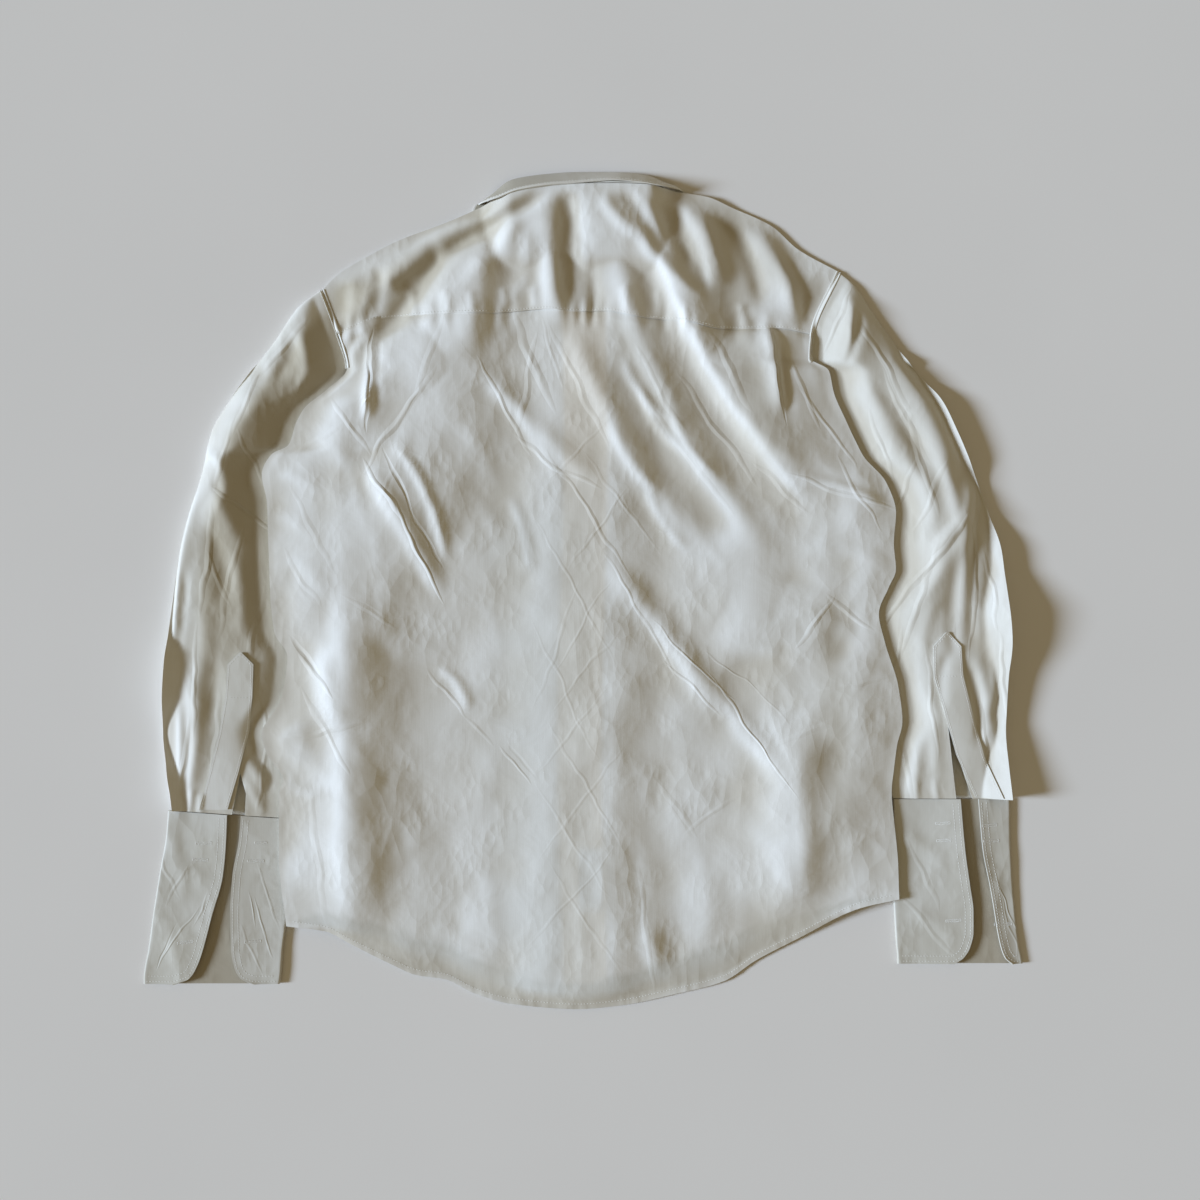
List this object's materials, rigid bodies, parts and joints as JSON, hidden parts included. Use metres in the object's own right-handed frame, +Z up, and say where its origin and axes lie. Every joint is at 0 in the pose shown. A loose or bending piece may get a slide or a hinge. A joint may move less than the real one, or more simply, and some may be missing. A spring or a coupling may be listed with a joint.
{
  "type": "crumpled_button_up_shirt",
  "caption": "Ivory cotton dress shirt laid flat on its front, softly crumpled, with its arms beside the body and its double cuffs unfolded and open.",
  "frame": {"origin": "centre of the laid-out shirt's outline, on the surface that it lies on", "axes": "+X towards the right sleeve, +Y towards the collar, +Z up from the surface"},
  "size_m": [0.825, 0.7845, 0.024],
  "materials": {
    "shirting": "fine_weave",
    "interlined": "fine_weave",
    "button": "glossy"
  },
  "bodies": {
    "root": {"back": "shirting", "yoke": "shirting", "front_left": "shirting", "front_right": "shirting", "front_placket": "shirting", "collar": "interlined", "collar_stand": "interlined", "sleeve_left": "shirting", "sleeve_right": "shirting", "sleeve_placket_left": "shirting", "sleeve_placket_right": "shirting", "cuff_left": "interlined", "cuff_right": "interlined", "button_1": "button", "button_2": "button", "button_3": "button", "button_4": "button", "button_5": "button", "button_6": "button", "button_7": "button", "button_8": "button"}
  },
  "joints": []
}
